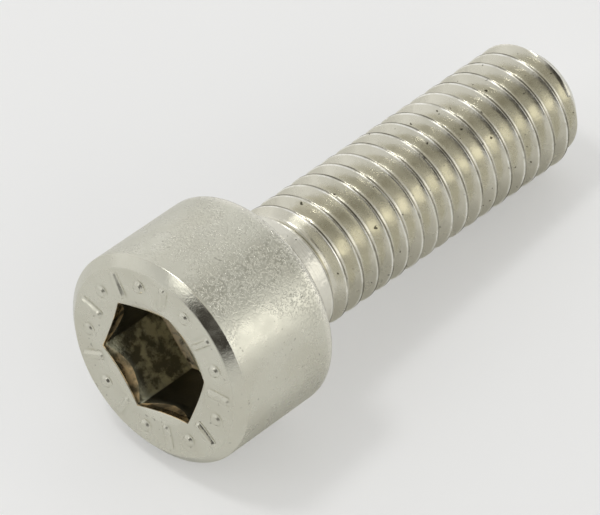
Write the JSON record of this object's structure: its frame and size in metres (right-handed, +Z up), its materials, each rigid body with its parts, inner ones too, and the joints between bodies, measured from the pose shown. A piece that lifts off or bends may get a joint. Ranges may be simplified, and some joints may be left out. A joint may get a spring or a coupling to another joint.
{
  "type": "hex socket cap screw",
  "caption": "Stainless hex socket cap screw with a plain cylindrical head, a bevelled rim and a fully threaded shank, lying at rest.",
  "frame": {"origin": "on the plane the screw rests on, at the middle of its box", "axes": "+Z up; the screw's axis lies in the YZ plane and dips about 6 degrees towards the tip; +Y from the head to the tip, so the socket faces -Y"},
  "size_m": [0.01, 0.026, 0.0105],
  "materials": {
    "stainless_steel": "tumbled bright stainless steel, satin and faintly warm, with peened pits on the head and smooth rolled thread flanks"
  },
  "bodies": {
    "root": {"screw": "stainless_steel"}
  },
  "joints": []
}
